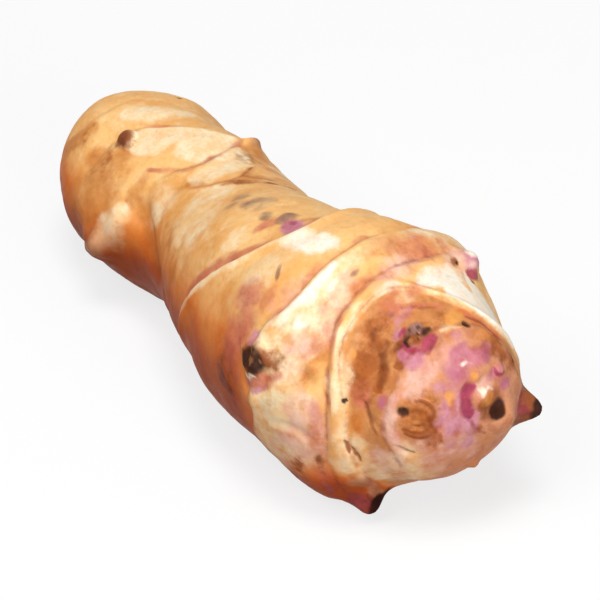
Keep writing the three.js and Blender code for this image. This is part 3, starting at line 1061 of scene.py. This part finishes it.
class Nodes:
    """Short calls for making the nodes of a material."""

    def __init__(self, tree):
        self.tree = tree
        tree.nodes.clear()

    def add(self, kind, **values):
        """A new node. Settings are given by name, and inputs as in_Name."""
        node = self.tree.nodes.new(kind)
        for name, value in values.items():
            if name.startswith("in_"):
                self.put(node.inputs[name[3:].replace("_", " ")], value)
            else:
                setattr(node, name, value)
        return node

    def put(self, socket, value):
        if isinstance(value, bpy.types.NodeSocket):
            self.tree.links.new(value, socket)
        else:
            socket.default_value = value

    def maths(self, operation, a, b=0.0):
        node = self.add("ShaderNodeMath", operation=operation)
        self.put(node.inputs[0], a)
        self.put(node.inputs[1], b)
        return node.outputs[0]

    def mix(self, amount, first, second, blend="MIX"):
        node = self.add("ShaderNodeMix", data_type="RGBA", blend_type=blend)
        self.put(node.inputs[0], amount)
        self.put(node.inputs[6], first)
        self.put(node.inputs[7], second)
        return node.outputs[2]

    def ramp(self, value, low, high, to_low=0.0, to_high=1.0):
        """Smooth step of a value from low to high."""
        node = self.add("ShaderNodeMapRange", interpolation_type="SMOOTHSTEP")
        for socket, given in zip(node.inputs, (value, low, high, to_low, to_high)):
            self.put(socket, given)
        return node.outputs[0]

    def layer(self, name):
        """A layer's amount from 0 to 1, as the mesh holds it."""
        return self.add("ShaderNodeAttribute", attribute_name=name).outputs["Fac"]

    def noise(self, place, size, detail=3.0, roughness=0.55):
        """Noise with lumps of a size in mm."""
        node = self.add("ShaderNodeTexNoise", in_Vector=place, in_Scale=1 / size)
        node.inputs["Detail"].default_value = detail
        node.inputs["Roughness"].default_value = roughness
        return node


def place_in_mm(n):
    """The shader's place on the tuber, in mm."""
    place = n.add("ShaderNodeTexCoord").outputs["Object"]
    scaled = n.add("ShaderNodeVectorMath", operation="SCALE", in_Vector=place)
    scaled.inputs["Scale"].default_value = 1 / MM
    return scaled.outputs[0]


def plain_colour(n, broad, medium, painted_shade):
    """Colour of the skin, the face and the tip before any mark is laid, with painted shade on
    plain skin that turns down.
    """
    colour = n.mix(n.ramp(broad, 0.35, 0.68), TAN, TAN_DEEP)
    colour = n.mix(n.ramp(medium, 0.45, 0.75, 0.0, 0.7), colour, TAN_PALE)
    colour = n.mix(n.ramp(painted_shade, 0.1, 0.5), colour, FLANK_SHADE_TINT, "MULTIPLY")
    for name, tone, deep_tone, share in (
        ("face", FACE, FACE_DEEP, 0.85),
        ("tip", TIP, TIP_DEEP, 0.8),
    ):
        tones = n.mix(n.ramp(medium, 0.38, 0.66), deep_tone, tone)
        colour = n.mix(n.maths("MULTIPLY", n.layer(name), share), colour, tones)
    return colour


def marked_colour(n, colour, place):
    """The colour with every colour layer laid over it, with ragged edges."""
    edges = [n.noise(place, size, detail=5.0, roughness=0.58) for size in EDGE_NOISE]
    splits = [n.add("ShaderNodeSeparateColor", in_Color=edge.outputs["Color"]) for edge in edges]
    channels = [socket for split in splits for socket in split.outputs]
    count = len(channels)
    for i, (name, tone, deep_tone, soft, ragged, opacity) in enumerate(COLOURS):
        amount = n.layer(name)
        wander = n.maths("MULTIPLY", n.maths("SUBTRACT", channels[i % count], 0.5), ragged)
        ragged_amount = n.maths("ADD", amount, wander)
        present = n.ramp(amount, 0.02, 0.35)
        cover = n.ramp(ragged_amount, 0.5 - soft, 0.5 + soft, 0.0, opacity)
        tones = n.mix(n.ramp(channels[(i + 3) % count], 0.35, 0.65), tone, deep_tone)
        colour = n.mix(n.maths("MULTIPLY", cover, present), colour, tones)
    return colour


def tinted_colour(n, colour, place, low, pale_end, painted_shade):
    """The marked colour with painted shade where the skin turns down, and freckled at the pale
    end.
    """
    shaded = n.maths("SUBTRACT", low, n.maths("MULTIPLY", pale_end, 0.35))
    colour = n.mix(n.ramp(shaded, 0.3, 0.9), colour, SHADE_TINT, "MULTIPLY")
    colour = n.mix(n.ramp(painted_shade, 0.35, 0.82), colour, UNDER_SHADE_TINT, "MULTIPLY")
    colour = n.mix(n.ramp(painted_shade, 0.62, 1.0), colour, DEEPEST_SHADE_TINT, "MULTIPLY")
    freckles = n.noise(place, MEDIUM_NOISE).outputs["Fac"]
    freckled = n.maths("MULTIPLY", n.ramp(freckles, 0.48, 0.72), n.ramp(pale_end, -0.1, 0.5))
    # No freckles on the painted highlights.
    freckled = n.maths("MULTIPLY", freckled, n.maths("SUBTRACT", 1.0, n.layer("white")))
    return n.mix(freckled, colour, FRECKLE_TINT, "MULTIPLY")


def skin_roughness(n, medium):
    """Roughness that varies over moist skin and is higher on dry spots."""
    dry = n.maths("MAXIMUM", n.layer("cork"), n.layer("dark"))
    return n.maths("ADD", n.ramp(medium, 0.3, 0.7, 0.42, 0.58), n.maths("MULTIPLY", dry, 0.3))


def skin_bump(n, place, fine):
    """Grain of the skin that is too fine for the mesh."""
    grain = n.noise(place, GRAIN_NOISE, detail=4.0, roughness=0.7).outputs["Fac"]
    relief = n.maths("ADD", n.maths("MULTIPLY", fine, 0.7), n.maths("MULTIPLY", grain, 0.3))
    bump = n.add("ShaderNodeBump", in_Height=relief, in_Strength=0.5)
    bump.inputs["Distance"].default_value = BUMP_DEPTH * MM
    return bump.outputs[0]


def skin_material():
    material = bpy.data.materials.new("tuber_skin")
    material.use_nodes = True
    n = Nodes(material.node_tree)
    place = place_in_mm(n)
    broad = n.noise(place, BROAD_NOISE).outputs["Fac"]
    medium = n.noise(place, MEDIUM_NOISE, detail=5.0, roughness=0.6).outputs["Fac"]
    fine = n.noise(place, FINE_NOISE, detail=6.0, roughness=0.7).outputs["Fac"]

    # Painted shade: how far the skin turns down, made uneven by noise and lessened at the pale
    # end.
    uneven = n.maths("MULTIPLY", n.maths("SUBTRACT", broad, 0.5), 0.35)
    low = n.maths("ADD", n.layer("low"), uneven)
    pale_end = n.layer("pale_end")
    painted_shade = n.maths("MULTIPLY", low, n.maths("SUBTRACT", 1.0, pale_end))
    colour = plain_colour(n, broad, medium, painted_shade)
    colour = marked_colour(n, colour, place)
    colour = tinted_colour(n, colour, place, low, pale_end, painted_shade)
    colour = n.mix(n.ramp(fine, 0.42, 0.75), colour, MOTTLE_TINT, "MULTIPLY")

    shader = n.add(
        "ShaderNodeBsdfPrincipled",
        in_Base_Color=colour,
        in_Roughness=skin_roughness(n, medium),
        in_Normal=skin_bump(n, place, fine),
    )
    shader.inputs["Subsurface Weight"].default_value = 0.15
    shader.inputs["Subsurface Radius"].default_value = (3.0 * MM, 1.0 * MM, 0.4 * MM)
    shader.inputs["Subsurface Scale"].default_value = 1.0
    shader.inputs["Specular IOR Level"].default_value = 0.06
    output = n.add("ShaderNodeOutputMaterial")
    n.put(output.inputs["Surface"], shader.outputs[0])
    return material


# --- Mesh ---


def grid_faces(rows, columns):
    """Quads between the rows, and a fan of triangles to a point at either end."""
    first, last = rows * columns, rows * columns + 1
    faces = []
    for j in range(columns):
        k = (j + 1) % columns
        faces.append((first, k, j))
        for i in range(rows - 1):
            a = i * columns
            b = a + columns
            faces.append((a + j, a + k, b + k, b + j))
        a = (rows - 1) * columns
        faces.append((a + j, a + k, last))
    return faces


def tuber_object():
    rows, columns = ALONG.shape
    ends = np.array([POINTS[0].mean(axis=0), POINTS[-1].mean(axis=0)])
    vertices = np.vstack([POINTS.reshape(-1, 3), ends]) * MM
    mesh = bpy.data.meshes.new("tuber_skin")
    mesh.from_pydata(vertices.tolist(), [], grid_faces(rows, columns))
    mesh.polygons.foreach_set("use_smooth", [True] * len(mesh.polygons))
    for name, amount in LAYERS.items():
        values = np.concatenate([amount.ravel(), [amount[0].mean(), amount[-1].mean()]])
        mesh.attributes.new(name, "FLOAT", "POINT").data.foreach_set("value", values)
    mesh.materials.append(skin_material())
    mesh.validate()
    tuber = bpy.data.objects.new("tuber_skin", mesh)
    bpy.context.collection.objects.link(tuber)
    return tuber


# --- Scene ---

# The photograph's viewing angle in degrees, with places in metres and the lens in mm.
CAMERA_AZIMUTH = 57.2
CAMERA_ELEVATION = 31.9
CAMERA_DISTANCE = 0.707
CAMERA_TARGET = Vector((0.0056, 0.0054, 0.0137))
CAMERA_LENS = 275.0

# Square lamps: name, azimuth and elevation in degrees, distance and size in metres, power in W.
LAMPS = [
    ("key", 55, 74, 1.0, 0.4, 6.0),
    ("left", 15, 48, 1.2, 0.6, 5.0),
    ("front", 82, 16, 1.2, 0.6, 7.5),
]

# Half side of the floor in metres, its tone as seen and as it lights the tuber, and the share
# of its seen colour that glows.
FLOOR_HALF = 3.0
FLOOR_SEEN = (0.9, 0.9, 0.9, 1.0)
FLOOR_BOUNCE = (0.3, 0.3, 0.3, 1.0)
FLOOR_GLOW = 0.75

# Strength of the white surroundings as light and as seen.
WORLD_LIGHT = 0.15
WORLD_SEEN = 1.0


def towards(azimuth, elevation):
    """Unit vector from the object to a place at an azimuth and elevation in degrees."""
    a, e = math.radians(azimuth), math.radians(elevation)
    return Vector((math.sin(a) * math.cos(e), -math.cos(a) * math.cos(e), math.sin(e)))


def add_camera():
    camera = bpy.data.objects.new("camera", bpy.data.cameras.new("camera"))
    camera.data.lens = CAMERA_LENS
    camera.data.clip_start = 0.05
    back = towards(CAMERA_AZIMUTH, CAMERA_ELEVATION)
    camera.location = CAMERA_TARGET + back * CAMERA_DISTANCE
    camera.rotation_euler = back.to_track_quat("Z", "Y").to_euler()
    bpy.context.collection.objects.link(camera)
    bpy.context.scene.camera = camera


def add_light(name, azimuth, elevation, distance, size, power):
    """A square lamp that points at the tuber."""
    data = bpy.data.lights.new(name, "AREA")
    data.size = size
    data.energy = power
    lamp = bpy.data.objects.new(name, data)
    back = towards(azimuth, elevation)
    lamp.location = CAMERA_TARGET + back * distance
    lamp.rotation_euler = back.to_track_quat("Z", "Y").to_euler()
    bpy.context.collection.objects.link(lamp)


def backdrop_rays(n):
    """1 for rays from the camera, from gloss and through glass, and 0 for the rest."""
    path = n.add("ShaderNodeLightPath")
    seen = n.maths("MAXIMUM", path.outputs["Is Camera Ray"], path.outputs["Is Glossy Ray"])
    return n.maths("MAXIMUM", seen, path.outputs["Is Transmission Ray"])


def add_floor():
    mesh = bpy.data.meshes.new("floor")
    square = ((-1, -1), (1, -1), (1, 1), (-1, 1))
    corners = [(x * FLOOR_HALF, y * FLOOR_HALF, 0.0) for x, y in square]
    mesh.from_pydata(corners, [], [(0, 1, 2, 3)])
    material = bpy.data.materials.new("floor")
    material.use_nodes = True
    n = Nodes(material.node_tree)
    seen = backdrop_rays(n)
    tone = n.mix(seen, FLOOR_BOUNCE, FLOOR_SEEN)
    pale = n.add("ShaderNodeBsdfPrincipled", in_Roughness=0.9, in_Base_Color=tone)
    glow = n.add("ShaderNodeEmission", in_Strength=1.0)
    share = n.maths("MULTIPLY", seen, FLOOR_GLOW)
    mixed = n.add("ShaderNodeMixShader", in_Fac=share)
    n.put(mixed.inputs[1], pale.outputs[0])
    n.put(mixed.inputs[2], glow.outputs[0])
    n.put(n.add("ShaderNodeOutputMaterial").inputs["Surface"], mixed.outputs[0])
    mesh.materials.append(material)
    floor = bpy.data.objects.new("floor", mesh)
    bpy.context.collection.objects.link(floor)


def add_world():
    world = bpy.data.worlds.new("studio")
    bpy.context.scene.world = world
    world.use_nodes = True
    n = Nodes(world.node_tree)
    background = n.add("ShaderNodeBackground")
    background.inputs["Color"].default_value = (1.0, 1.0, 1.0, 1.0)
    strength = n.ramp(backdrop_rays(n), 0.0, 1.0, WORLD_LIGHT, WORLD_SEEN)
    n.put(background.inputs["Strength"], strength)
    n.put(n.add("ShaderNodeOutputWorld").inputs["Surface"], background.outputs[0])


tuber = tuber_object()
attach(tuber, "root")
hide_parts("tuber")

add_floor()
add_world()
for lamp in LAMPS:
    add_light(*lamp)
add_camera()
bpy.context.scene.view_settings.view_transform = "Standard"
